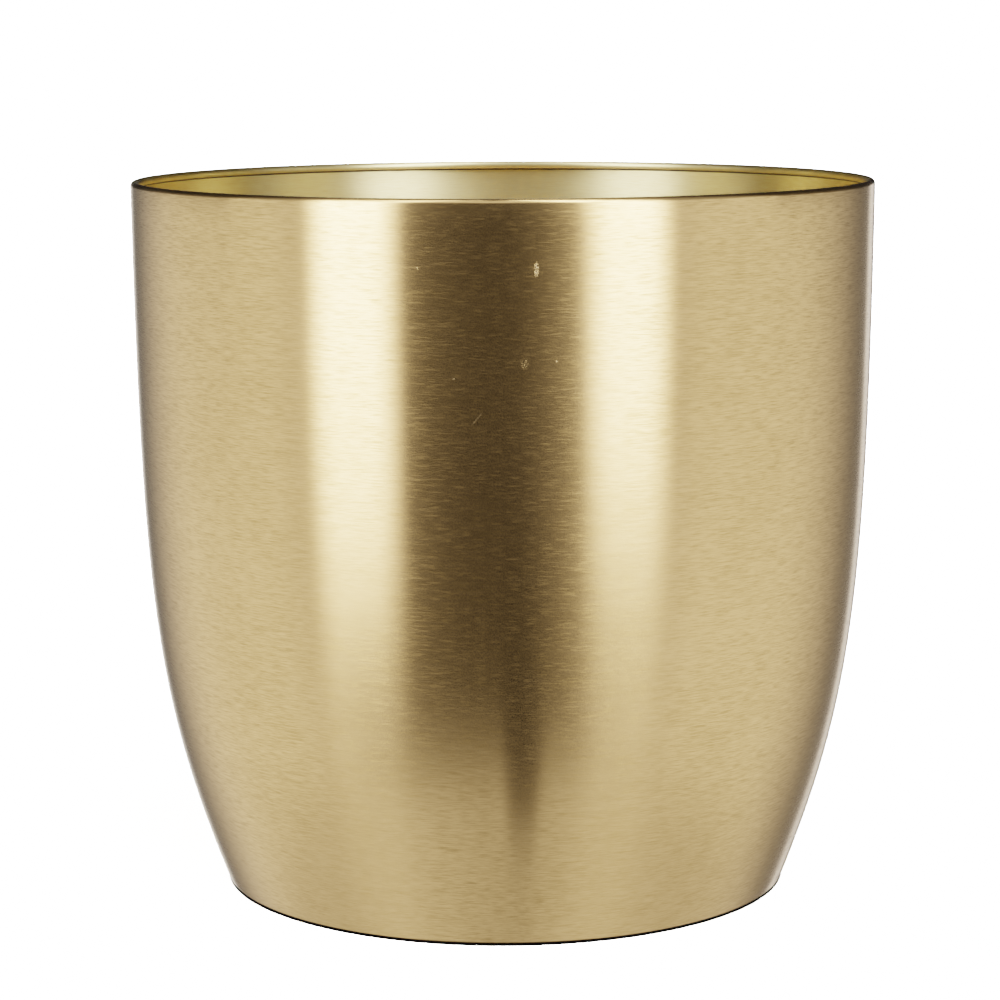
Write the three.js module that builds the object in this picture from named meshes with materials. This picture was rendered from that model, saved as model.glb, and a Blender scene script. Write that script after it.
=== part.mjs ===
// Brass planter pot: a spun wall with a wired rim, a soldered-in base disc and rubber foot pads.
// Millimetres, +Z up, origin on the pot's axis at the surface that it stands on.
import * as THREE from 'three';

// Wall: thin sheet, nearly upright below the rim and drawn in towards the foot.
// Its side is one cubic curve: a lean from the upright at each end, and how far each lean reaches.
const rimRadius = 150;
const potHeight = 287;
const footRadius = 115.8;
const wallSheet = 0.7;
const footLean = THREE.MathUtils.degToRad(20.6);
const footLeanReach = 79;
const rimLean = THREE.MathUtils.degToRad(0.5);
const rimLeanReach = 170;

// Rim: the top edge rolled inwards around a stiffening wire
const rollRadius = 1.75;

// Foot: the bottom edge bent inwards into a flat flange
const footBend = 1.2;
const flangeWidth = 8;

// Base disc: lies on the flange, with its middle pressed up as a stiffening step
const discSheet = 0.8;
const stepHeight = 3;
const stepRun = 8;

// Solder: a hollow fillet in the corner between the disc and the wall
const filletLeg = 2.5;

// Foot pads: stuck under the disc, standing a little lower than the flange
const padCount = 4;
const padRadius = 10;
const padChamfer = 0.4;
const padProud = 1;
const padMargin = 3;

// Free space between neighbouring solids
const clearance = 0.3;

// Facets
const turnSegments = 64;
const wallSegments = 12;
const rollTopSegments = 3;
const rollUnderSegments = 6;
const bendSegments = 4;
const stepSegments = 4;
const filletSegments = 3;
const wireSides = 8;
const padSegments = 32;

const finishes = {
  brushedBrass: { color: 0xc9ac6b, metalness: 1, roughness: 0.35 },
  dullBrass: { color: 0xb99c5e, metalness: 1, roughness: 0.45 },
  steel: { color: 0x8f9296, metalness: 1, roughness: 0.4 },
  solder: { color: 0xa9a59a, metalness: 1, roughness: 0.5 },
  rubber: { color: 0x1b1a19, metalness: 0, roughness: 0.85 },
};

function point(radius, height) {
  return new THREE.Vector2(radius, height);
}

// Places that follow from the sizes above, as (radius, height)
const bendCentre = point(footRadius - footBend * Math.cos(footLean), padProud + footBend);
const rollCentre = point(rimRadius - rollRadius, potHeight - rollRadius);
const flangeInner = bendCentre.x - flangeWidth;
const discRadius = bendCentre.x;
const discBottom = padProud + wallSheet + clearance;
const discTop = discBottom + discSheet;
const padCircle = flangeInner - padMargin - padRadius;
const stepOuter = padCircle - padRadius - padMargin;

function line(from, to) {
  return new THREE.LineCurve(from, to);
}

function arc(centre, radius, from, to) {
  return new THREE.EllipseCurve(centre.x, centre.y, radius, radius, from, to);
}

// Points along curves that follow on from each other, given as [curve, segments] pairs
function pointsAlong(stretches) {
  const start = stretches[0][0].getPoint(0);
  return [start, ...stretches.flatMap(([curve, segments]) => curve.getPoints(segments).slice(1))];
}

// A face moved to its left, square to itself
function offsetFace(face, distance) {
  return face.map((corner, i) => {
    const behind = face[Math.max(i - 1, 0)];
    const ahead = face[Math.min(i + 1, face.length - 1)];
    const along = ahead.clone().sub(behind).normalize();
    return point(corner.x - along.y * distance, corner.y + along.x * distance);
  });
}

// Section of a sheet: one face, then the face behind it back to the start
function sheetOutline(face, thickness) {
  return [...face, ...offsetFace(face, thickness).reverse()];
}

function closed(outline) {
  return [...outline, outline[0].clone()];
}

// A section turned about the Z axis
function turned(outline, segments) {
  return new THREE.LatheGeometry(outline, segments).rotateX(Math.PI / 2);
}

// The wall's side, from the end of the foot bend to the start of the rim roll
function wallSide() {
  const start = point(Math.cos(footLean), -Math.sin(footLean)).multiplyScalar(footBend).add(bendCentre);
  const end = point(Math.cos(rimLean), -Math.sin(rimLean)).multiplyScalar(rollRadius).add(rollCentre);
  const outOfFoot = point(Math.sin(footLean), Math.cos(footLean)).multiplyScalar(footLeanReach);
  const intoRim = point(Math.sin(rimLean), Math.cos(rimLean)).multiplyScalar(rimLeanReach);
  return new THREE.CubicBezierCurve(start, start.clone().add(outOfFoot), end.clone().sub(intoRim), end);
}

// The wall's outer face goes out under the flange, up the side and over into the roll,
// which turns until its edge is a clearance short of the wall's inner face
function wallOutline() {
  const rollEnd = 2 * Math.PI - Math.acos((rollRadius - wallSheet - clearance) / rollRadius);
  const face = pointsAlong([
    [line(point(flangeInner, padProud), point(bendCentre.x, padProud)), 1],
    [arc(bendCentre, footBend, -Math.PI / 2, -footLean), bendSegments],
    [wallSide(), wallSegments],
    [arc(rollCentre, rollRadius, -rimLean, Math.PI / 2), rollTopSegments],
    [arc(rollCentre, rollRadius, Math.PI / 2, rollEnd), rollUnderSegments],
  ]);
  return closed(sheetOutline(face, wallSheet));
}

// Radius of the wall's inner face at a height on its side
function wallInsideRadius(height) {
  const inside = offsetFace(wallSide().getPoints(wallSegments), wallSheet);
  const upper = Math.max(inside.findIndex((corner) => corner.y > height), 1);
  const below = inside[upper - 1];
  const above = inside[upper];
  return THREE.MathUtils.mapLinear(height, below.y, above.y, below.x, above.x);
}

function wireGeometry() {
  const wireRadius = rollRadius - wallSheet - clearance;
  const ring = new THREE.TorusGeometry(rollCentre.x, wireRadius, wireSides, turnSegments);
  return ring.translate(0, 0, rollCentre.y);
}

// Disc: a raised middle, an S-shaped step down and a flat border over the flange
function discOutline() {
  const middle = discBottom + stepHeight;
  const stepInner = stepOuter - stepRun;
  const halfWay = stepOuter - stepRun / 2;
  const step = new THREE.CubicBezierCurve(
    point(stepInner, middle),
    point(halfWay, middle),
    point(halfWay, discBottom),
    point(stepOuter, discBottom)
  );
  const underside = pointsAlong([
    [line(point(0, middle), point(stepInner, middle)), 1],
    [step, stepSegments],
    [line(point(stepOuter, discBottom), point(discRadius, discBottom)), 1],
  ]);
  return sheetOutline(underside, discSheet);
}

// Fillet: up beside the wall, then a hollow curve back down to the disc
function filletOutline() {
  const bottom = discTop + clearance;
  const wallGap = clearance / Math.cos(footLean);
  const corner = point(wallInsideRadius(bottom) - wallGap, bottom);
  const top = point(wallInsideRadius(bottom + filletLeg) - wallGap, bottom + filletLeg);
  const toe = point(corner.x - filletLeg, bottom);
  const pull = top.clone().lerp(toe, 0.5).lerp(corner, 0.5);
  const hollow = new THREE.QuadraticBezierCurve(top, pull, toe);
  return closed([corner, ...hollow.getPoints(filletSegments)]);
}

// Pad: a flat rubber disc with a chamfered lower edge
function padOutline() {
  const top = discBottom - clearance;
  return [
    point(0, 0),
    point(padRadius - padChamfer, 0),
    point(padRadius, padChamfer),
    point(padRadius, top),
    point(0, top),
  ];
}

const pot = new THREE.Group();

function addMesh(name, geometry, finish) {
  const mesh = new THREE.Mesh(geometry, new THREE.MeshStandardMaterial(finish));
  mesh.name = name;
  pot.add(mesh);
  return mesh;
}

addMesh('pot_wall', turned(wallOutline(), turnSegments), finishes.brushedBrass);
addMesh('rim_wire', wireGeometry(), finishes.steel);
addMesh('base_disc', turned(discOutline(), turnSegments), finishes.dullBrass);
addMesh('solder_fillet', turned(filletOutline(), turnSegments), finishes.solder);

for (let i = 0; i < padCount; i++) {
  const angle = (2 * Math.PI * (i + 0.5)) / padCount;
  const pad = addMesh(`foot_pad_${i + 1}`, turned(padOutline(), padSegments), finishes.rubber);
  pad.position.set(padCircle * Math.cos(angle), padCircle * Math.sin(angle), 0);
}

export default pot;
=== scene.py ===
import math
import bpy
import numpy as np
from mathutils import Euler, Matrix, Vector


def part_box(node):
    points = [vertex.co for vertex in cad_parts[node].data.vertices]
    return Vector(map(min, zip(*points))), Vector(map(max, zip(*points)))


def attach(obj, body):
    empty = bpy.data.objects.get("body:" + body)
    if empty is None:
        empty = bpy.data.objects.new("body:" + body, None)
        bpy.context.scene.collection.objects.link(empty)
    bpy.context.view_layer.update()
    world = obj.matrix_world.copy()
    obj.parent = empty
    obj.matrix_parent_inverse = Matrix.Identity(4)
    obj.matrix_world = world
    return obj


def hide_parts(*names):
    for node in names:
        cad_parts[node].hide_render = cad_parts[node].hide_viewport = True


# Brass planter pot: a spun wall with a wired rim, a soldered-in base disc and rubber foot pads.
# Everything is in metres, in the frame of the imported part: +Z up, the pot's axis on Z, its foot at zero.
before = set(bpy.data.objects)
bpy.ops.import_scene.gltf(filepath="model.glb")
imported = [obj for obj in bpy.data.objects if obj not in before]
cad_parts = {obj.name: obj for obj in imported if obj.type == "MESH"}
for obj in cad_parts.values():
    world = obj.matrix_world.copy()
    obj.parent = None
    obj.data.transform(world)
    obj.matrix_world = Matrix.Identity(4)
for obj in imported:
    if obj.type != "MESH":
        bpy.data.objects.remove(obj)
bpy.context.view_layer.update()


# Camera
camera = {
    "place": (-0.0016, -1.250, 0.350),
    "pitchDown": 8.875,  # degrees below the level
    "roll": -0.23,       # degrees, the left side lower
    "lens": 110.57,      # mm on the sensor below
    "sensor": 36.0,
    "nearest": 0.05,
    "furthest": 50,
}


def makeCamera(wanted):
    data = bpy.data.cameras.new("studioCamera")
    data.lens = wanted["lens"]
    data.sensor_width = wanted["sensor"]
    data.clip_start = wanted["nearest"]
    data.clip_end = wanted["furthest"]
    made = bpy.data.objects.new("studioCamera", data)
    tilt = Euler((math.radians(90 - wanted["pitchDown"]), 0, 0)).to_matrix()
    turn = Euler((0, 0, math.radians(wanted["roll"]))).to_matrix()
    made.rotation_euler = (tilt @ turn).to_euler()
    made.location = wanted["place"]
    bpy.context.scene.collection.objects.link(made)
    bpy.context.scene.camera = made


makeCamera(camera)
print("camera in place")


class Wire:
    # An output of a node; arithmetic on it adds the Math node that does it
    def __init__(self, board, socket):
        self.board = board
        self.socket = socket

    def __add__(self, other):
        return self.board.maths("ADD", self, other)

    def __sub__(self, other):
        return self.board.maths("SUBTRACT", self, other)

    def __mul__(self, other):
        return self.board.maths("MULTIPLY", self, other)

    def __rsub__(self, other):
        return self.board.maths("SUBTRACT", other, self)

    __radd__ = __add__
    __rmul__ = __mul__


class Board:
    # One node tree, built up by expressions
    def __init__(self, owner):
        owner.use_nodes = True
        self.tree = owner.node_tree
        self.tree.nodes.clear()

    # Any node: its type, its settings, then values or wires for its sockets, by name or number
    def node(self, kind, settings=None, inputs=None, out=0):
        made = self.tree.nodes.new(kind)
        for name, value in (settings or {}).items():
            setattr(made, name, value)
        for name, value in (inputs or {}).items():
            if isinstance(value, Wire):
                self.tree.links.new(value.socket, made.inputs[name])
            else:
                made.inputs[name].default_value = value
        return Wire(self, made.outputs[out]) if made.outputs else None

    def maths(self, operation, *values):
        return self.node("ShaderNodeMath", {"operation": operation}, dict(enumerate(values)))

    def limit(self, value):
        return self.node("ShaderNodeClamp", None, {"Value": value})

    # A smooth change from 0 to 1 as the value goes from low to high
    def rise(self, value, low, high):
        inputs = {"Value": value, "From Min": low, "From Max": high}
        return self.node("ShaderNodeMapRange", {"interpolation_type": "SMOOTHSTEP"}, inputs)

    def mixColour(self, share, first, second):
        inputs = {0: share, 6: first, 7: second}
        return self.node("ShaderNodeMix", {"data_type": "RGBA"}, inputs, out=2)

    def vector(self, operation, first, second=(0, 0, 0), out=0):
        return self.node("ShaderNodeVectorMath", {"operation": operation}, {0: first, 1: second}, out)

    def scaled(self, vector, size):
        return self.node("ShaderNodeVectorMath", {"operation": "SCALE"}, {0: vector, "Scale": size})

    def split(self, vector):
        outputs = self.node("ShaderNodeSeparateXYZ", None, {0: vector}).socket.node.outputs
        return [Wire(self, output) for output in outputs]

    def joined(self, x, y, z):
        return self.node("ShaderNodeCombineXYZ", None, {0: x, 1: y, 2: z})

    def noise(self, place, scale=1.0, detail=2.0, rough=0.5, twist=0.0):
        inputs = {"Vector": place, "Scale": scale, "Detail": detail}
        inputs.update({"Roughness": rough, "Distortion": twist})
        return self.node("ShaderNodeTexNoise", None, inputs)

    # Grain drawn out round the Z axis: noise on (x / r, y / r) * streaks and along * lines
    def grain(self, place, along, streaks, lines, detail):
        x, y = self.split(place)[:2]
        around = self.vector("NORMALIZE", self.joined(x, y, 0))
        stretched = self.vector("ADD", self.scaled(around, streaks), self.joined(0, 0, along * lines))
        return self.noise(stretched, 1.0, detail, 0.6)

    # A spot that fades out at its edge, broken up into grains as far as it is ragged
    def spot(self, place, middle, size, ragged, grains):
        apart = self.vector("DIVIDE", self.vector("SUBTRACT", place, middle), size)
        distance = self.vector("LENGTH", apart, out="Value")
        specks = self.rise(self.noise(place, grains, 1, 0.5), 0.52, 0.62)
        return (1 - self.rise(distance, 0.3, 1.0)) * (1 - (1 - specks) * ragged)

    # A thin straight scratch on the front between two (x, z) points, fading at both ends
    def scratchLine(self, place, start, end, width):
        x, y, z = self.split(place)
        run = math.hypot(end[0] - start[0], end[1] - start[1])
        cosine, sine = (end[0] - start[0]) / run, (end[1] - start[1]) / run
        middleX, middleZ = (start[0] + end[0]) / 2, (start[1] + end[1]) / 2
        right, up = x - middleX, z - middleZ
        lengthwise = self.maths("ABSOLUTE", right * cosine + up * sine)
        sideways = self.maths("ABSOLUTE", up * cosine - right * sine)
        line = (1 - self.rise(sideways, width / 2, width)) * (1 - self.rise(lengthwise, run / 4, run / 2))
        return line * self.maths("LESS_THAN", y, 0.0)

    # Short scratches, at most one in a cell. The cell's own colour turns it and says if it is there:
    # not at all up to the first value of rare, and fully from the second.
    # Half widths and lengths are shares of the cell, from where a scratch is full to where it is gone.
    def scratches(self, across, along, wanted):
        flat = self.scaled(self.joined(across, along, 0), 1 / wanted["cell"])
        settings = {"voronoi_dimensions": "2D"}
        inputs = {"Vector": flat, "Scale": 1.0, "Randomness": 1.0}
        cells = self.node("ShaderNodeTexVoronoi", settings, inputs).socket.node.outputs
        chance = self.split(Wire(self, cells["Color"]))
        apart = self.split(self.vector("SUBTRACT", flat, Wire(self, cells["Position"])))
        angle = chance[0] * math.pi
        cosine, sine = self.maths("COSINE", angle), self.maths("SINE", angle)
        lengthwise = self.maths("ABSOLUTE", apart[0] * cosine + apart[1] * sine)
        sideways = self.maths("ABSOLUTE", apart[1] * cosine - apart[0] * sine)
        line = 1 - self.rise(sideways, *wanted["halfWidth"])
        line = line * (1 - self.rise(lengthwise, *wanted["halfLength"]))
        return line * self.rise(chance[2], *wanted["rare"])

    def bump(self, height, depth):
        inputs = {"Strength": 1.0, "Distance": depth, "Height": height}
        return self.node("ShaderNodeBump", None, inputs)

    # A metal whose gloss is drawn out across the grain. The quarter turn lays the grain round the axis.
    def metal(self, colour, rough, normal, anisotropy):
        return self.node("ShaderNodeBsdfPrincipled", None, {
            "Base Color": colour, "Metallic": 1.0, "Roughness": rough, "Normal": normal,
            "Anisotropic": anisotropy, "Anisotropic Rotation": 0.25,
        })

    def finish(self, shader):
        self.node("ShaderNodeOutputMaterial", None, {"Surface": shader})


# Studio. The light is a sky of soft panels round the pot. A way out from the pot has a turn, in degrees
# to the right of the camera's side, and a climb, in degrees above the level.
#   middle, half, soft: a panel's turn, half its width and the softness of its sides
#   low, lowSoft: the climb from which it is fully lit, and how far it fades in below that
#   bright, high, top: its brightness at the level and at its top, and the climb of its top
#   slant: how far its middle moves for each degree of climb
#   flare: how much its half width grows up to its top
#   under: what still shows below it
#   halo: whether a faint wide glow lies round it and on the floor
wallPanel = {"low": -60, "lowSoft": 5, "slant": 0.0, "flare": 0, "under": 0.0, "halo": False}
sidePanel = {**wallPanel, "high": 0.1, "top": 22}
backPanel = {**wallPanel, "high": 0.0, "top": 8}
studio = {
    "panels": {
        "leftPanel": {"middle": -46, "half": 5.4, "soft": 11.5, "low": -2, "lowSoft": 20, "halo": True,
                      "bright": 14.0, "high": 5.0, "top": 45, "slant": 0.0, "flare": 6, "under": 0.12},
        "rightPanel": {"middle": 38.6, "half": 4.2, "soft": 12, "low": -4, "lowSoft": 13, "halo": True,
                       "bright": 12.5, "high": 9.0, "top": 45, "slant": 0.12, "flare": 5, "under": 0.12},
        "leftWall": {**sidePanel, "middle": -97, "half": 18, "soft": 41, "bright": 1.25},
        "rightWall": {**sidePanel, "middle": 82, "half": 14, "soft": 50, "bright": 1.2},
        "backLeft": {**backPanel, "middle": -172, "half": 6, "soft": 7, "bright": 1.9},
        "backRight": {**backPanel, "middle": 158, "half": 2, "soft": 5, "bright": 1.6},
    },
    "slantLevel": -10,  # the climb at which a slanted panel stands at its own middle
    "halo": {"reach": 42, "bright": 0.05, "onFloor": 0.17},
    "roomGlow": {"bright": 0.24, "from": 50, "to": 62},  # turns between which the room's light comes up
    # Overhead, in degrees from the camera's horizon up over the pot to the horizon behind it. It fades
    # out sideways from half to side, where 1 is straight out to a side.
    "ceiling": {"from": 6, "to": 44, "past": 52, "gone": 76, "half": 0.35, "side": 0.6, "bright": 1.6},
    "behind": {"from": 78, "to": 98, "left": 0.1},  # past the zenith only this share of light is left
    "floorGlow": {"top": -43, "soft": 14, "bright": 0.80},  # the lit floor, below the climb named top
    # Two dark stands in front hide the lit floor down to the climb of their foot
    "darkStands": [
        {"middle": 6.6, "half": 3, "soft": 6},
        {"middle": 10.4, "half": 0.8, "soft": 1.6},
    ],
    "standFoot": -53,
    "nadir": {"from": -66, "to": -76},  # the pot's own shade on the floor
    "backdrop": 40.0,                   # the sky as the camera sees it straight
}
floorLook = {
    "reach": 60.0,
    "diffuse": 0.8,
    "seenAs": 24.0,  # in place of diffuse where the camera sees it, to burn it out to white
}
underLook = {
    "beyond": 0.0008,
    "height": 0.00005,
    "diffuse": 0.012,
    "sides": 128,
}


def makeStudio(wanted):
    world = bpy.data.worlds.new("softStudio")
    bpy.context.scene.world = world
    board = Board(world)
    x, y, z = board.split(board.node("ShaderNodeTexCoord", out="Generated"))
    turn = board.maths("ARCTAN2", x, 0 - y) * (180 / math.pi)
    climb = board.maths("ARCSINE", z) * (180 / math.pi)
    over = board.maths("ARCTAN2", z, 0 - y) * (180 / math.pi)

    # Degrees between a turn and this way's own
    def away(middle):
        return board.maths("ABSOLUTE", board.maths("WRAP", turn - middle, 180.0, -180.0))

    top = wanted["ceiling"]
    room = wanted["roomGlow"]
    halo = wanted["halo"]
    begun = board.rise(over, top["from"], top["to"])
    begun = begun * (1 - board.rise(board.maths("ABSOLUTE", x), top["half"], top["side"]))
    light = begun * (1 - board.rise(over, top["past"], top["gone"])) * top["bright"]
    light = light + board.rise(away(0), room["from"], room["to"]) * room["bright"]
    spill = 0.0
    for panel in wanted["panels"].values():
        apart = away(panel["middle"] - (climb - wanted["slantLevel"]) * panel["slant"])
        upper = board.rise(climb, 0, panel["top"])
        beyond = apart - upper * panel["flare"]
        across = 1 - board.rise(beyond, panel["half"], panel["half"] + panel["soft"])
        lit = board.rise(climb, panel["low"] - panel["lowSoft"], panel["low"])
        strength = panel["bright"] + upper * (panel["high"] - panel["bright"])
        light = light + across * (panel["under"] + lit * (strength - panel["under"]))
        if panel["halo"]:
            glow = 1 - board.rise(apart, panel["half"], halo["reach"])
            light = light + glow * halo["bright"]
            spill = spill + glow * halo["onFloor"]
    behind = wanted["behind"]
    light = light * (1 - board.rise(over, behind["from"], behind["to"]) * (1 - behind["left"]))
    low = wanted["floorGlow"]
    clear = 1.0
    for stand in wanted["darkStands"]:
        clear = board.rise(away(stand["middle"]), stand["half"], stand["half"] + stand["soft"]) * clear
    edge = wanted["standFoot"] + clear * (low["top"] - wanted["standFoot"])
    floor = 1 - board.rise(climb - edge, 0, low["soft"])
    light = light + floor * (low["bright"] + spill - light)
    under = wanted["nadir"]
    light = light * board.rise(climb, under["to"], under["from"])
    seen = board.node("ShaderNodeLightPath", out="Is Camera Ray")
    strength = light + seen * (wanted["backdrop"] - light)
    shader = board.node("ShaderNodeBackground", None, {"Strength": strength})
    board.node("ShaderNodeOutputWorld", None, {"Surface": shader})


# The finish of a sheet of the stage: nothing hides the pot from a look up through the sheet
def sheetFinish(board, shader):
    clear = board.node("ShaderNodeBsdfTransparent")
    fromBelow = board.node("ShaderNodeNewGeometry", out="Backfacing")
    board.finish(board.node("ShaderNodeMixShader", None, {0: fromBelow, 1: shader, 2: clear}))


# A flat sheet of the stage with its material
def stageSheet(name, corners, material):
    mesh = bpy.data.meshes.new(name)
    mesh.from_pydata(corners, [], [range(len(corners))])
    mesh.materials.append(material)
    made = bpy.data.objects.new(name, mesh)
    bpy.context.scene.collection.objects.link(made)
    return made


# The floor. The metal doesn't reflect it: the sky's floorGlow stands in for it there.
def makeFloor(wanted):
    material = bpy.data.materials.new("palePaper")
    board = Board(material)
    seen = board.node("ShaderNodeLightPath", out="Is Camera Ray")
    shade = wanted["diffuse"] + seen * (wanted["seenAs"] - wanted["diffuse"])
    shader = board.node("ShaderNodeBsdfDiffuse", None, {"Color": board.joined(shade, shade, shade)})
    sheetFinish(board, shader)
    far = wanted["reach"]
    corners = [(-far, -far, 0), (far, -far, 0), (far, far, 0), (-far, far, 0)]
    stageSheet("paleFloor", corners, material).visible_glossy = False


# The dark under the pot, where no light gets in between it and the floor: a round sheet that reaches
# just beyond the radius given
def makeUnderShade(wanted, radius):
    material = bpy.data.materials.new("underShade")
    board = Board(material)
    shade = wanted["diffuse"]
    shader = board.node("ShaderNodeBsdfDiffuse", None, {"Color": (shade, shade, shade, 1)})
    sheetFinish(board, shader)
    angle = np.arange(wanted["sides"]) * (2 * math.pi / wanted["sides"])
    reach = radius + wanted["beyond"]
    level = np.full(len(angle), wanted["height"])
    corners = np.stack([reach * np.cos(angle), reach * np.sin(angle), level], axis=1)
    stageSheet("underShade", corners.tolist(), material)


makeStudio(studio)
makeFloor(floorLook)
makeUnderShade(underLook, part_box("base_disc")[1].x)
bpy.context.scene.view_settings.view_transform = "Filmic"
print("studio lit")


# Shapes. A section is a row of (radius, height) points.

# A straight stretch: even steps from start to end
def straight(start, end, steps):
    share = np.linspace(0, 1, steps + 1)[:, None]
    return np.array(start) * (1 - share) + np.array(end) * share


# An arc: centre + radius (cos angle, sin angle)
def arc(centre, radius, begin, finish, steps):
    angle = np.linspace(begin, finish, steps + 1)
    return np.array(centre) + radius * np.stack([np.cos(angle), np.sin(angle)], axis=1)


# A cubic curve from the first point to the last, drawn towards the two between
def cubic(points, steps):
    t = np.linspace(0, 1, steps + 1)[:, None]
    s = 1 - t
    p0, p1, p2, p3 = [np.array(point) for point in points]
    return s**3 * p0 + 3 * s * s * t * p1 + 3 * s * t * t * p2 + t**3 * p3


# Stretches that follow on from each other, with each meeting point kept once
def chain(*stretches):
    return np.concatenate([stretches[0]] + [stretch[1:] for stretch in stretches[1:]])


# A face moved to its left by distance, square to itself
def offset(face, distance):
    along = np.gradient(face, axis=0)
    along /= np.linalg.norm(along, axis=1)[:, None]
    return face + distance * np.stack([-along[:, 1], along[:, 0]], axis=1)


# A cut edge from start to end with its corners worn round, a fourth-power ellipse:
# middle + half the edge times cos^1/2 + bulge times sin^1/2, to the right of the way across
def wornEdge(start, end, bulge, steps):
    angle = np.linspace(0, math.pi, steps + 1)[1:-1, None]
    middle = (start + end) / 2
    across = (end - start) / np.linalg.norm(end - start)
    outwards = np.array([across[1], -across[0]])
    level = np.sign(np.cos(angle)) * np.sqrt(np.abs(np.cos(angle)))
    return middle + (start - middle) * level + outwards * bulge * np.sqrt(np.sin(angle))


# A section carried round an axis: (x + r cos angle, y + r sin angle, z) at even angles.
# A closed section makes a ring; one that starts and ends on the axis is closed by a fan at each end.
# The UV map holds the turn, 0 to 1, and the distance along the section in metres.
def turned(name, section, turns, centre=(0, 0), shift=None):
    onAxis = section[0, 0] < 1e-9
    sides = section[1:-1] if onAxis else section
    rows = len(sides)
    radius = np.repeat(sides[:, :1], turns, axis=1)
    height = np.repeat(sides[:, 1:], turns, axis=1)
    angle = np.repeat(np.arange(turns)[None, :] * (2 * math.pi / turns), rows, axis=0)
    if shift is not None:
        outwards, upwards = shift(radius, height, angle)
        radius = radius + outwards
        height = height + upwards
    x = centre[0] + radius * np.cos(angle)
    y = centre[1] + radius * np.sin(angle)
    points = np.stack([x, y, height], axis=2).reshape(-1, 3)
    loop = section if onAxis else np.concatenate([section, section[:1]])
    run = np.concatenate([[0], np.cumsum(np.linalg.norm(np.diff(loop, axis=0), axis=1))])
    row = np.arange(rows - 1 if onAxis else rows)[:, None]
    column = np.arange(turns)[None, :]
    above = (row + 1) % rows
    beside = (column + 1) % turns
    corners = [row * turns + column, row * turns + beside, above * turns + beside, above * turns + column]
    quads = np.stack(np.broadcast_arrays(*corners), axis=2).reshape(-1, 4)
    first = row + (1 if onAxis else 0)
    near, far = run[first], run[first + 1]
    left, right = column / turns, (column + 1) / turns
    uv = cornerUv([(left, near), (right, near), (right, far), (left, far)])
    if not onAxis:
        return meshFrom(name, points, quads, np.zeros((0, 3), int), uv)
    poles = np.array([[*centre, section[0, 1]], [*centre, section[-1, 1]]])
    spoke = np.arange(turns)
    after = (spoke + 1) % turns
    last = (rows - 1) * turns
    start = np.full(turns, rows * turns)
    low = np.stack([start, after, spoke], axis=1)
    high = np.stack([start + 1, last + spoke, last + after], axis=1)
    left, right = spoke / turns, (spoke + 1) / turns
    half = (left + right) / 2
    lowUv = cornerUv([(half, 0), (right, run[1]), (left, run[1])])
    highUv = cornerUv([(half, run[-1]), (left, run[-2]), (right, run[-2])])
    points = np.concatenate([points, poles])
    return meshFrom(name, points, quads, np.concatenate([low, high]), np.concatenate([uv, lowUv, highUv]))


# The UVs of faces, corner after corner, from each corner's (turn, along) arrays
def cornerUv(corners):
    pairs = [np.stack(np.broadcast_arrays(turn, along), axis=-1) for turn, along in corners]
    return np.stack(pairs, axis=-2).reshape(-1, 2)


# A smooth mesh object from whole arrays of points and of faces with four and three corners
def meshFrom(name, points, quads, triangles, uv):
    mesh = bpy.data.meshes.new(name)
    mesh.vertices.add(len(points))
    mesh.vertices.foreach_set("co", points.astype(np.float32).ravel())
    corners = np.concatenate([quads.ravel(), triangles.ravel()])
    sizes = np.concatenate([np.full(len(quads), 4), np.full(len(triangles), 3)])
    starts = np.concatenate([[0], np.cumsum(sizes)[:-1]])
    mesh.loops.add(len(corners))
    mesh.loops.foreach_set("vertex_index", corners.astype(np.int32))
    mesh.polygons.add(len(sizes))
    mesh.polygons.foreach_set("loop_start", starts.astype(np.int32))
    mesh.polygons.foreach_set("use_smooth", np.ones(len(sizes), bool))
    layer = mesh.uv_layers.new(name="roundAndAlong")
    layer.data.foreach_set("uv", uv.astype(np.float32).ravel())
    mesh.update(calc_edges=True)
    made = bpy.data.objects.new(name, mesh)
    bpy.context.scene.collection.objects.link(made)
    return made


# A finished piece: its material, its body, and the node that it stands for hidden
def finishPiece(piece, material, node):
    piece.data.materials.append(material)
    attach(piece, "root")
    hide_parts(node)
    print(piece.name, "made,", len(piece.data.polygons), "faces")


# Slow waves round and up a surface between two heights, fading to nothing at both:
# depth times sin(lobes angle + climb share + phase) over the root of the lobes, summed over seeded waves
def waviness(wanted, low, high):
    chance = np.random.default_rng(wanted["seed"])
    lobes = chance.integers(*wanted["lobes"], wanted["waves"])
    climb = chance.uniform(-wanted["climb"], wanted["climb"], wanted["waves"])
    phase = chance.uniform(0, 2 * math.pi, wanted["waves"])

    def shift(radius, height, angle):
        share = np.clip((height - low) / (high - low), 0, 1)[..., None]
        wave = np.sin(lobes * angle[..., None] + climb * share + phase) / np.sqrt(lobes)
        free = np.sin(math.pi * share[..., 0]) ** 2
        return wanted["depth"] * free * wave.sum(axis=-1), 0 * radius

    return shift


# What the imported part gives: the boxes of its nodes
wallLow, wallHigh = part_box("pot_wall")
discLow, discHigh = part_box("base_disc")
wireLow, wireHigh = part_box("rim_wire")
solderLow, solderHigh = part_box("solder_fillet")
wireRadius = (wireHigh.z - wireLow.z) / 2
rollCentre = np.array([wireHigh.x - wireRadius, (wireHigh.z + wireLow.z) / 2])
rollRadius = wallHigh.z - rollCentre[1]


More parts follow.
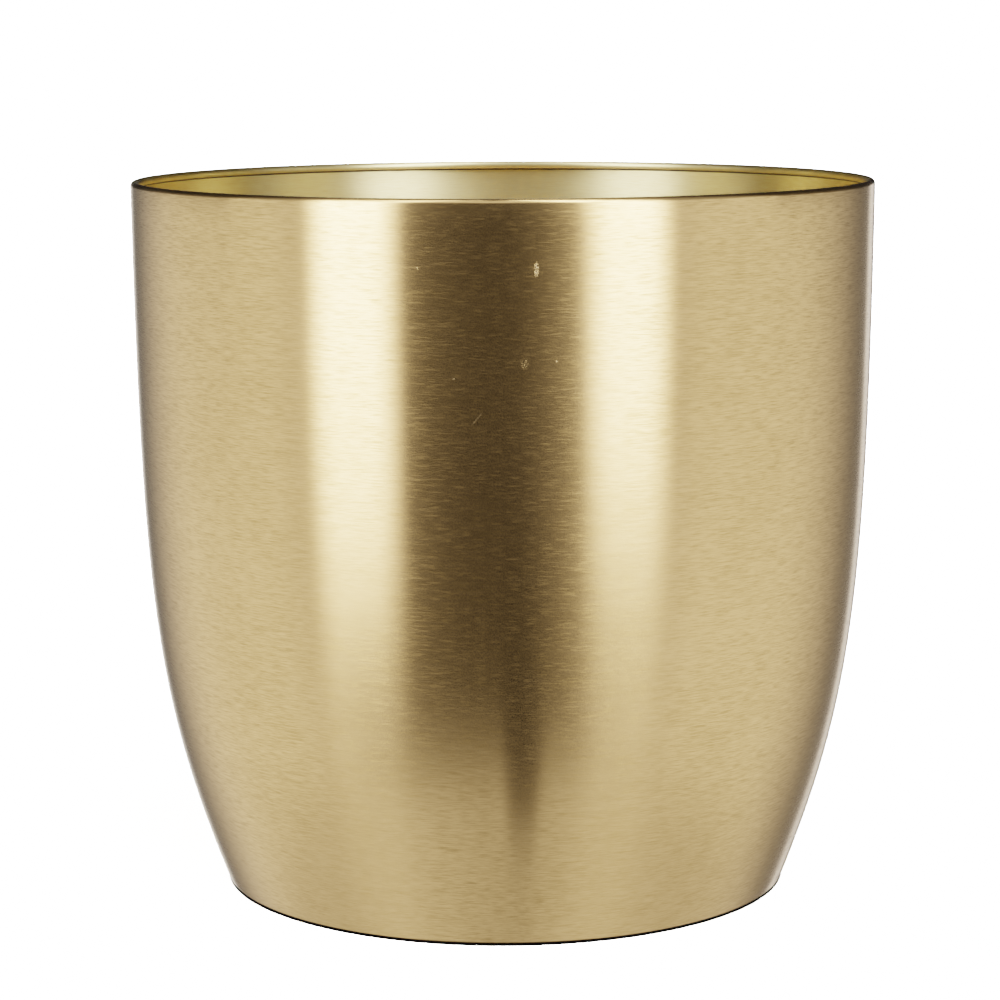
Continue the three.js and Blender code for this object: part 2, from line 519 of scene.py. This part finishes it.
# Wall: a spun sheet, rolled in at the rim and bent in at the foot
wallShape = {
    "sheet": 0.0007,
    "footLean": 20.6,          # degrees from the upright
    "footLeanReach": 0.079,    # how far the curve of the side keeps to that lean
    "rimLean": 0.5,
    "rimLeanReach": 0.170,
    "footBend": 0.0012,
    "flangeWidth": 0.008,
    "edgeBulge": 0.00012,
    "turns": 384,
    "steps": {"flange": 6, "bend": 8, "side": 56, "roll": 24, "edge": 6},
    "waves": {"seed": 4, "waves": 7, "lobes": (2, 9), "climb": 9, "depth": 0.00005},
    "evenFoot": 0.01,          # metres above the disc without waves
    "evenRim": 3,              # roll radii below the top of the rim without waves
}


# The outer face from the flange's edge, round the bend and up the side, to the end of the roll
def wallFace(wanted):
    bendCentre = np.array([discHigh.x, wallLow.z + wanted["footBend"]])
    footLean = math.radians(wanted["footLean"])
    rimLean = math.radians(wanted["rimLean"])
    start = bendCentre + wanted["footBend"] * np.array([math.cos(footLean), -math.sin(footLean)])
    end = rollCentre + rollRadius * np.array([math.cos(rimLean), -math.sin(rimLean)])
    outOfFoot = start + wanted["footLeanReach"] * np.array([math.sin(footLean), math.cos(footLean)])
    intoRim = end - wanted["rimLeanReach"] * np.array([math.sin(rimLean), math.cos(rimLean)])
    rollEnd = 2 * math.pi - math.acos(wireRadius / rollRadius)
    flangeInner = bendCentre[0] - wanted["flangeWidth"]
    steps = wanted["steps"]
    return chain(
        straight((flangeInner, wallLow.z), (bendCentre[0], wallLow.z), steps["flange"]),
        arc(bendCentre, wanted["footBend"], -math.pi / 2, -footLean, steps["bend"]),
        cubic((start, outOfFoot, intoRim, end), steps["side"]),
        arc(rollCentre, rollRadius, -rimLean, rollEnd, steps["roll"]),
    )


def wallSection(wanted):
    face = wallFace(wanted)
    back = offset(face, wanted["sheet"])[::-1]
    rimEdge = wornEdge(face[-1], back[0], wanted["edgeBulge"], wanted["steps"]["edge"])
    footEdge = wornEdge(back[-1], face[0], wanted["edgeBulge"], wanted["steps"]["edge"])
    return np.concatenate([face, rimEdge, back, footEdge])


# Distance along a stretch of the section, in metres
def faceLength(face):
    return float(np.linalg.norm(np.diff(face, axis=0), axis=1).sum())


brassLook = {
    "bright": (0.98, 0.62, 0.255, 1),
    "deep": (0.66, 0.41, 0.15, 1),
    "inner": (0.94, 0.79, 0.41, 1),
    "innerDeep": (0.87, 0.70, 0.33, 1),
    "innerStart": 0.0012,  # metres before the top of the roll where the inside's look begins
    # Painted shade: the dark colour painted on the inner wall where the roll shades the gap under it
    "gapShadeColour": (0.08, 0.065, 0.04, 1),
    "gapShadeRise": (0.0006, 0.0002),  # metres below the roll, from where the painted gap shade begins to all of it
    "gapShadeFade": (0.15, 0.35),      # roll radii above the roll's bottom, where it goes again
    "roughness": 0.148,
    "innerRoughness": 0.31,
    "roughGrain": 0.11,
    "anisotropy": 0.8,
    "satinShare": 0.27,    # of the surface that scatters wider
    "satinRise": 0.143,
    "satinAnisotropy": 0.97,
    "grainDepth": 0.000016,
    "innerDepth": 0.5,     # as a share of the grain's depth outside
    "streaks": 24.0,       # times 2 pi, the lengths of grain that go round
    "grain": 2800.0,       # lines of grain in a metre
    "broadStreaks": 3,     # times longer than the fine grain
    "broadGrain": 5,       # times wider than the fine grain
    "clouds": 13,          # patches in a metre, as for all noise here
    "stains": 45,
    "worn": (0.98, 0.80, 0.52, 1),
    "wornColour": 0.7,     # how far a mark takes on that colour
    "wornRoughness": 0.3,
    "grit": 2500,
    "gritDepth": 6,        # as a share of the grain's depth
    "scratches": {"cell": 0.035, "halfWidth": (0.0015, 0.0035), "halfLength": (0.02, 0.12),
                  "rare": (0.72, 0.9), "strength": 0.07},
    "nickGrains": 3300,
    "nicks": [
        # middle, half size, raggedness, strength
        ((0.01188, -0.1493, 0.26176), (0.0011, 0.004, 0.0036), 1.0, 0.9),
        ((0.00755, -0.1488, 0.22769), (0.0026, 0.004, 0.0026), 1.0, 0.2),
        ((-0.0182, -0.1480, 0.2222), (0.0007, 0.004, 0.0007), 0.5, 0.4),
        ((0.0191, -0.1477, 0.2285), (0.0006, 0.004, 0.0006), 0.4, 0.4),
        ((-0.0311, -0.1462, 0.2621), (0.0012, 0.004, 0.0006), 1.0, 0.3),
    ],
    "scratch": {"start": (-0.0121, 0.2050), "end": (-0.0074, 0.2106), "width": 0.0003, "strength": 0.25},
}


# Marks on the brushed face: faint short scratches all over, a few nicks and one longer scratch
def brassMarks(board, wanted, place, turn, along):
    few = wanted["scratches"]
    mark = board.scratches(turn * (wallHigh.x * 2 * math.pi), along, few) * few["strength"]
    for middle, size, ragged, strength in wanted["nicks"]:
        mark = mark + board.spot(place, middle, size, ragged, wanted["nickGrains"]) * strength
    line = wanted["scratch"]
    mark = mark + board.scratchLine(place, line["start"], line["end"], line["width"]) * line["strength"]
    return board.limit(mark)


# Painted shade of the gap under the roll, on the inside: where a band of dark colour goes on the inner
# wall round the roll's bottom
def paintedGapShade(board, wanted, place):
    z = board.split(place)[2]
    bottom = rollCentre[1] - rollRadius
    begins, full = [bottom - below for below in wanted["gapShadeRise"]]
    fades, gone = [bottom + rollRadius * share for share in wanted["gapShadeFade"]]
    return board.rise(z, begins, full) * (1 - board.rise(z, fades, gone))


# Brushed round the axis: noise drawn out along the turn and fine across it. Two metals share the
# surface, a polished one and a satin one, so that highlights are sharp with a wide soft foot.
def makeBrushedBrass(name, wanted, rollTop):
    material = bpy.data.materials.new(name)
    board = Board(material)
    place = board.node("ShaderNodeTexCoord", out="Object")
    turn, along = board.split(board.node("ShaderNodeTexCoord", out="UV"))[:2]
    inside = board.rise(along, rollTop - wanted["innerStart"], rollTop)
    streaks, lines = wanted["streaks"], wanted["grain"]
    fine = board.grain(place, along, streaks, lines, 3)
    broad = board.grain(place, along, streaks / wanted["broadStreaks"], lines / wanted["broadGrain"], 3)
    cloud = board.noise(place, wanted["clouds"], 3, 0.5)
    stain = board.noise(place, wanted["stains"], 4, 0.6)
    groove = board.rise(fine, 0.48, 0.68)
    streak = (fine - 0.5) * 3.0 + (broad - 0.5) * 0.8
    shade = board.limit(streak + (cloud - 0.5) * 0.6 + (stain - 0.5) * 0.4 + 0.4)
    outer = board.mixColour(shade, wanted["bright"], wanted["deep"])
    inner = board.mixColour(shade, wanted["inner"], wanted["innerDeep"])
    colour = board.mixColour(inside, outer, inner)
    # Painted shade: the gap under the roll is darkened in the colour, on the inside only
    colour = board.mixColour(paintedGapShade(board, wanted, place) * inside, colour, wanted["gapShadeColour"])
    mark = brassMarks(board, wanted, place, turn, along)
    colour = board.mixColour(mark * wanted["wornColour"], colour, wanted["worn"])
    base = wanted["roughness"] + inside * (wanted["innerRoughness"] - wanted["roughness"])
    rough = base + groove * wanted["roughGrain"] + (cloud - 0.5) * 0.02 + mark * wanted["wornRoughness"]
    grit = board.noise(place, wanted["grit"], 1, 0.5)
    height = (fine * 0.7 + broad * 0.6) * (1 - inside * wanted["innerDepth"])
    bump = board.bump(height - mark * grit * wanted["gritDepth"], wanted["grainDepth"])
    polished = board.metal(colour, rough, bump, wanted["anisotropy"])
    satin = board.metal(colour, rough + wanted["satinRise"], bump, wanted["satinAnisotropy"])
    board.finish(board.node("ShaderNodeMixShader", None, {0: wanted["satinShare"], 1: polished, 2: satin}))
    return material


wavesStart = discHigh.z + wallShape["evenFoot"]
wavesEnd = wallHigh.z - wallShape["evenRim"] * rollRadius
lift = waviness(wallShape["waves"], wavesStart, wavesEnd)
potWall = turned("potWall", wallSection(wallShape), wallShape["turns"], shift=lift)
belowRoll = wallFace(wallShape)[:-wallShape["steps"]["roll"]]
rollTop = faceLength(belowRoll) + rollRadius * math.pi / 2
brushedBrass = makeBrushedBrass("brushedBrass", brassLook, rollTop)
finishPiece(potWall, brushedBrass, "pot_wall")


# Wire: drawn steel, closed up inside the rim roll
wireLook = {
    "colour": (0.46, 0.46, 0.47, 1),
    "dull": (0.30, 0.29, 0.28, 1),
    "roughness": 0.38,
    "anisotropy": 0.4,
    "streaks": 5,
    "drawLines": 9000.0,
    "drawDepth": 0.00001,
    "bloom": 60,
    "sides": 20,
    "turns": 384,
}


# Drawn wire: fine lines along it, and grey bloom in patches
def makeDrawnSteel(name, wanted):
    material = bpy.data.materials.new(name)
    board = Board(material)
    place = board.node("ShaderNodeTexCoord", out="Object")
    along = board.split(board.node("ShaderNodeTexCoord", out="UV"))[1]
    lines = board.grain(place, along, wanted["streaks"], wanted["drawLines"], 3)
    bloom = board.noise(place, wanted["bloom"], 4, 0.6)
    share = board.rise(bloom * 0.7 + lines * 0.3, 0.35, 0.7)
    colour = board.mixColour(share, wanted["colour"], wanted["dull"])
    rough = wanted["roughness"] + (bloom - 0.5) * 0.25
    board.finish(board.metal(colour, rough, board.bump(lines, wanted["drawDepth"]), wanted["anisotropy"]))
    return material


ring = arc(rollCentre, wireRadius, 0, 2 * math.pi, wireLook["sides"])[:-1]
rimWire = turned("rimWire", ring, wireLook["turns"])
finishPiece(rimWire, makeDrawnSteel("drawnSteel", wireLook), "rim_wire")


# Base disc: a flat border over the flange, a pressed step and a raised middle
discShape = {
    "sheet": 0.0008,
    "stepOuter": 0.08068,
    "stepRun": 0.008,
    "edgeBulge": 0.00008,
    "turns": 256,
    "steps": {"middle": 24, "step": 16, "border": 12, "edge": 6},
}
discLook = {
    "bright": (0.84, 0.58, 0.27, 1),
    "dull": (0.60, 0.40, 0.19, 1),
    "stain": (0.42, 0.26, 0.13, 1),
    "roughness": 0.34,
    "anisotropy": 0.7,
    "streaks": 4,
    "rings": 1500.0,
    "ringDepth": 0.000016,
    "clouds": 22,
    # Heat from soldering, in metres in from the edge: where it begins, where it is strongest
    "heat": {"from": 0.016, "to": 0.001, "wander": 0.03, "strength": 0.7},
}


# The underside from the middle out, over the step, then the worn edge and the same way back on top
def discSection(wanted):
    raised = discHigh.z - wanted["sheet"]
    inner = wanted["stepOuter"] - wanted["stepRun"]
    middle = wanted["stepOuter"] - wanted["stepRun"] / 2
    step = ((inner, raised), (middle, raised), (middle, discLow.z), (wanted["stepOuter"], discLow.z))
    rim = discHigh.x - wanted["edgeBulge"]
    steps = wanted["steps"]
    under = chain(
        straight((0, raised), (inner, raised), steps["middle"]),
        cubic(step, steps["step"]),
        straight((wanted["stepOuter"], discLow.z), (rim, discLow.z), steps["border"]),
    )
    over = offset(under, wanted["sheet"])[::-1]
    edge = wornEdge(under[-1], over[0], wanted["edgeBulge"], steps["edge"])
    return np.concatenate([under, edge, over])


# Turned brass: fine rings about the middle, darker where soldering heat stained it near its edge
def makeTurnedBrass(name, wanted):
    material = bpy.data.materials.new(name)
    board = Board(material)
    place = board.node("ShaderNodeTexCoord", out="Object")
    along = board.split(board.node("ShaderNodeTexCoord", out="UV"))[1]
    x, y = board.split(place)[:2]
    radius = board.vector("LENGTH", board.joined(x, y, 0), out="Value")
    rings = board.grain(place, along, wanted["streaks"], wanted["rings"], 3)
    broad = board.grain(place, along, wanted["streaks"] / 2, wanted["rings"] / 8, 2)
    cloud = board.noise(place, wanted["clouds"], 4, 0.6)
    shade = board.limit((rings - 0.5) * 1.1 + (broad - 0.5) + (cloud - 0.5) * 1.4 + 0.4)
    colour = board.mixColour(shade, wanted["bright"], wanted["dull"])
    reach = wanted["heat"]
    wandering = radius + (cloud - 0.5) * reach["wander"]
    heat = board.rise(wandering, discHigh.x - reach["from"], discHigh.x - reach["to"])
    colour = board.mixColour(heat * reach["strength"], colour, wanted["stain"])
    rough = wanted["roughness"] + (rings - 0.5) * 0.12 + (cloud - 0.5) * 0.12 + heat * 0.14
    bump = board.bump(rings * 0.8 + broad, wanted["ringDepth"])
    board.finish(board.metal(colour, rough, bump, wanted["anisotropy"]))
    return material


baseDisc = turned("baseDisc", discSection(discShape), discShape["turns"])
finishPiece(baseDisc, makeTurnedBrass("turnedBrass", discLook), "base_disc")


# Solder: a hollow bead run round the corner between the disc and the wall
solderShape = {
    "turns": 512,
    "corner": 0.3,         # how far the hollow face is drawn into the corner
    "cornerSteps": 4,
    "hollowSteps": 14,
    "lumps": {"seed": 11, "waves": 26, "lobes": (5, 110), "twist": 6, "depth": 0.00010,
              "deepest": 2.5, "highest": 3.5, "lean": 0.7},
}
solderLook = {
    "colour": (0.56, 0.54, 0.51, 1),
    "dull": (0.30, 0.28, 0.25, 1),
    "flux": (0.30, 0.17, 0.06, 1),
    "roughness": 0.42,
    "runs": 90,
    "specks": 900,
    "fluxPatches": 38,
    "depth": 0.00008,
}


# The wall's inner radius at a height on its side
def wallInnerRadius(height):
    steps = wallShape["steps"]
    foot = steps["flange"] + steps["bend"]
    side = offset(wallFace(wallShape), wallShape["sheet"])[foot + 1:foot + steps["side"]]
    return float(np.interp(height, side[:, 1], side[:, 0]))


# Out along the disc to the corner, up along the wall, and back down the hollow face
def solderSection(wanted):
    gap = solderHigh.x - wallInnerRadius(solderHigh.z)
    corner = np.array([wallInnerRadius(solderLow.z) + gap, solderLow.z])
    top = np.array([solderHigh.x, solderHigh.z])
    toe = np.array([corner[0] - (solderHigh.z - solderLow.z), solderLow.z])
    pull = (top + toe) / 2 * (1 - wanted["corner"]) + corner * wanted["corner"]
    hollow = cubic((top, (top + 2 * pull) / 3, (toe + 2 * pull) / 3, toe), wanted["hollowSteps"])
    onDisc = straight(toe, corner, wanted["cornerSteps"])
    onWall = straight(corner, top, wanted["cornerSteps"])
    return np.concatenate([onDisc[:-1], onWall[:-1], hollow[:-1]])


# Lumps on the hollow face only, which begins after the flat points of the section: seeded waves round
# the ring, depth times sin(pi share) times sin(lobes angle + twist share + phase) over lobes^0.3,
# clipped, and pushed in and up as far as the lean
def lumpiness(wanted, section, flatPoints):
    chance = np.random.default_rng(wanted["seed"])
    lobes = chance.integers(*wanted["lobes"], wanted["waves"])
    phase = chance.uniform(0, 2 * math.pi, wanted["waves"])
    twist = chance.uniform(-wanted["twist"], wanted["twist"], wanted["waves"])
    down = np.arange(len(section)) - flatPoints
    share = np.clip(down / (len(section) - flatPoints), 0, 1)[:, None]

    def shift(radius, height, angle):
        wave = np.sin(lobes * angle[..., None] + twist * share[..., None] + phase) / lobes**0.3
        lift = wanted["depth"] * np.sin(math.pi * share) * wave.sum(axis=-1)
        lift = np.clip(lift, -wanted["deepest"] * wanted["depth"], wanted["highest"] * wanted["depth"])
        return -wanted["lean"] * lift, wanted["lean"] * lift

    return shift


# Soft solder: pale where it ran, dull and grey where it set, brown flux here and there
def makeSoftSolder(name, wanted):
    material = bpy.data.materials.new(name)
    board = Board(material)
    place = board.node("ShaderNodeTexCoord", out="Object")
    ran = board.noise(place, wanted["runs"], 4, 0.6, 0.6)
    speck = board.noise(place, wanted["specks"], 3, 0.6)
    share = board.rise(ran * 0.8 + speck * 0.2, 0.38, 0.62)
    colour = board.mixColour(share, wanted["colour"], wanted["dull"])
    flux = board.rise(board.noise(place, wanted["fluxPatches"], 4, 0.65), 0.56, 0.68)
    colour = board.mixColour(flux * 0.7, colour, wanted["flux"])
    rough = wanted["roughness"] + (ran - 0.5) * 0.4 + flux * 0.15
    board.finish(board.metal(colour, rough, board.bump(speck * 0.5 + ran * 2, wanted["depth"]), 0.0))
    return material


section = solderSection(solderShape)
lumps = lumpiness(solderShape["lumps"], section, 2 * solderShape["cornerSteps"])
solderFillet = turned("solderFillet", section, solderShape["turns"], shift=lumps)
finishPiece(solderFillet, makeSoftSolder("softSolder", solderLook), "solder_fillet")


# Foot pads: die-cut rubber, edge worn round below
padShape = {
    "count": 4,
    "edge": 0.0005,
    "upperEdge": 0.0005 / 3,
    "turns": 96,
    "steps": {"face": 12, "edge": 6, "side": 3, "upperEdge": 4},
}
padLook = {
    "colour": (0.016, 0.016, 0.016, 1),
    "grey": (0.050, 0.047, 0.043, 1),
    "roughness": 0.82,
    "skin": 1400,
    "dust": 160,
    "depth": 0.00004,
}


# Out along the underside, round its worn edge, up the side and back in on top
def padSection(wanted, radius, low, high):
    edge, upper = wanted["edge"], wanted["upperEdge"]
    steps = wanted["steps"]
    return chain(
        straight((0, low), (radius - edge, low), steps["face"]),
        arc((radius - edge, low + edge), edge, -math.pi / 2, 0, steps["edge"]),
        straight((radius, low + edge), (radius, high - upper), steps["side"]),
        arc((radius - upper, high - upper), upper, 0, math.pi / 2, steps["upperEdge"]),
        straight((radius - upper, high), (0, high), steps["face"]),
    )


# Rubber: fine moulded texture, dust rubbed into it in patches
def makeRubber(name, wanted):
    material = bpy.data.materials.new(name)
    board = Board(material)
    place = board.node("ShaderNodeTexCoord", out="Object")
    skin = board.noise(place, wanted["skin"], 3, 0.6)
    dust = board.noise(place, wanted["dust"], 5, 0.65)
    share = board.rise(dust * 0.8 + skin * 0.2, 0.42, 0.72)
    colour = board.mixColour(share, wanted["colour"], wanted["grey"])
    rough = wanted["roughness"] + (skin - 0.5) * 0.15
    bump = board.bump(skin + dust, wanted["depth"])
    inputs = {"Base Color": colour, "Roughness": rough, "Normal": bump}
    board.finish(board.node("ShaderNodeBsdfPrincipled", None, inputs))
    return material


padRubber = makeRubber("padRubber", padLook)
for number in range(1, padShape["count"] + 1):
    low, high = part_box(f"foot_pad_{number}")
    middle = (low + high) / 2
    outline = padSection(padShape, (high.x - low.x) / 2, low.z, high.z)
    pad = turned(f"footPad{number}", outline, padShape["turns"], centre=(middle.x, middle.y))
    finishPiece(pad, padRubber, f"foot_pad_{number}")
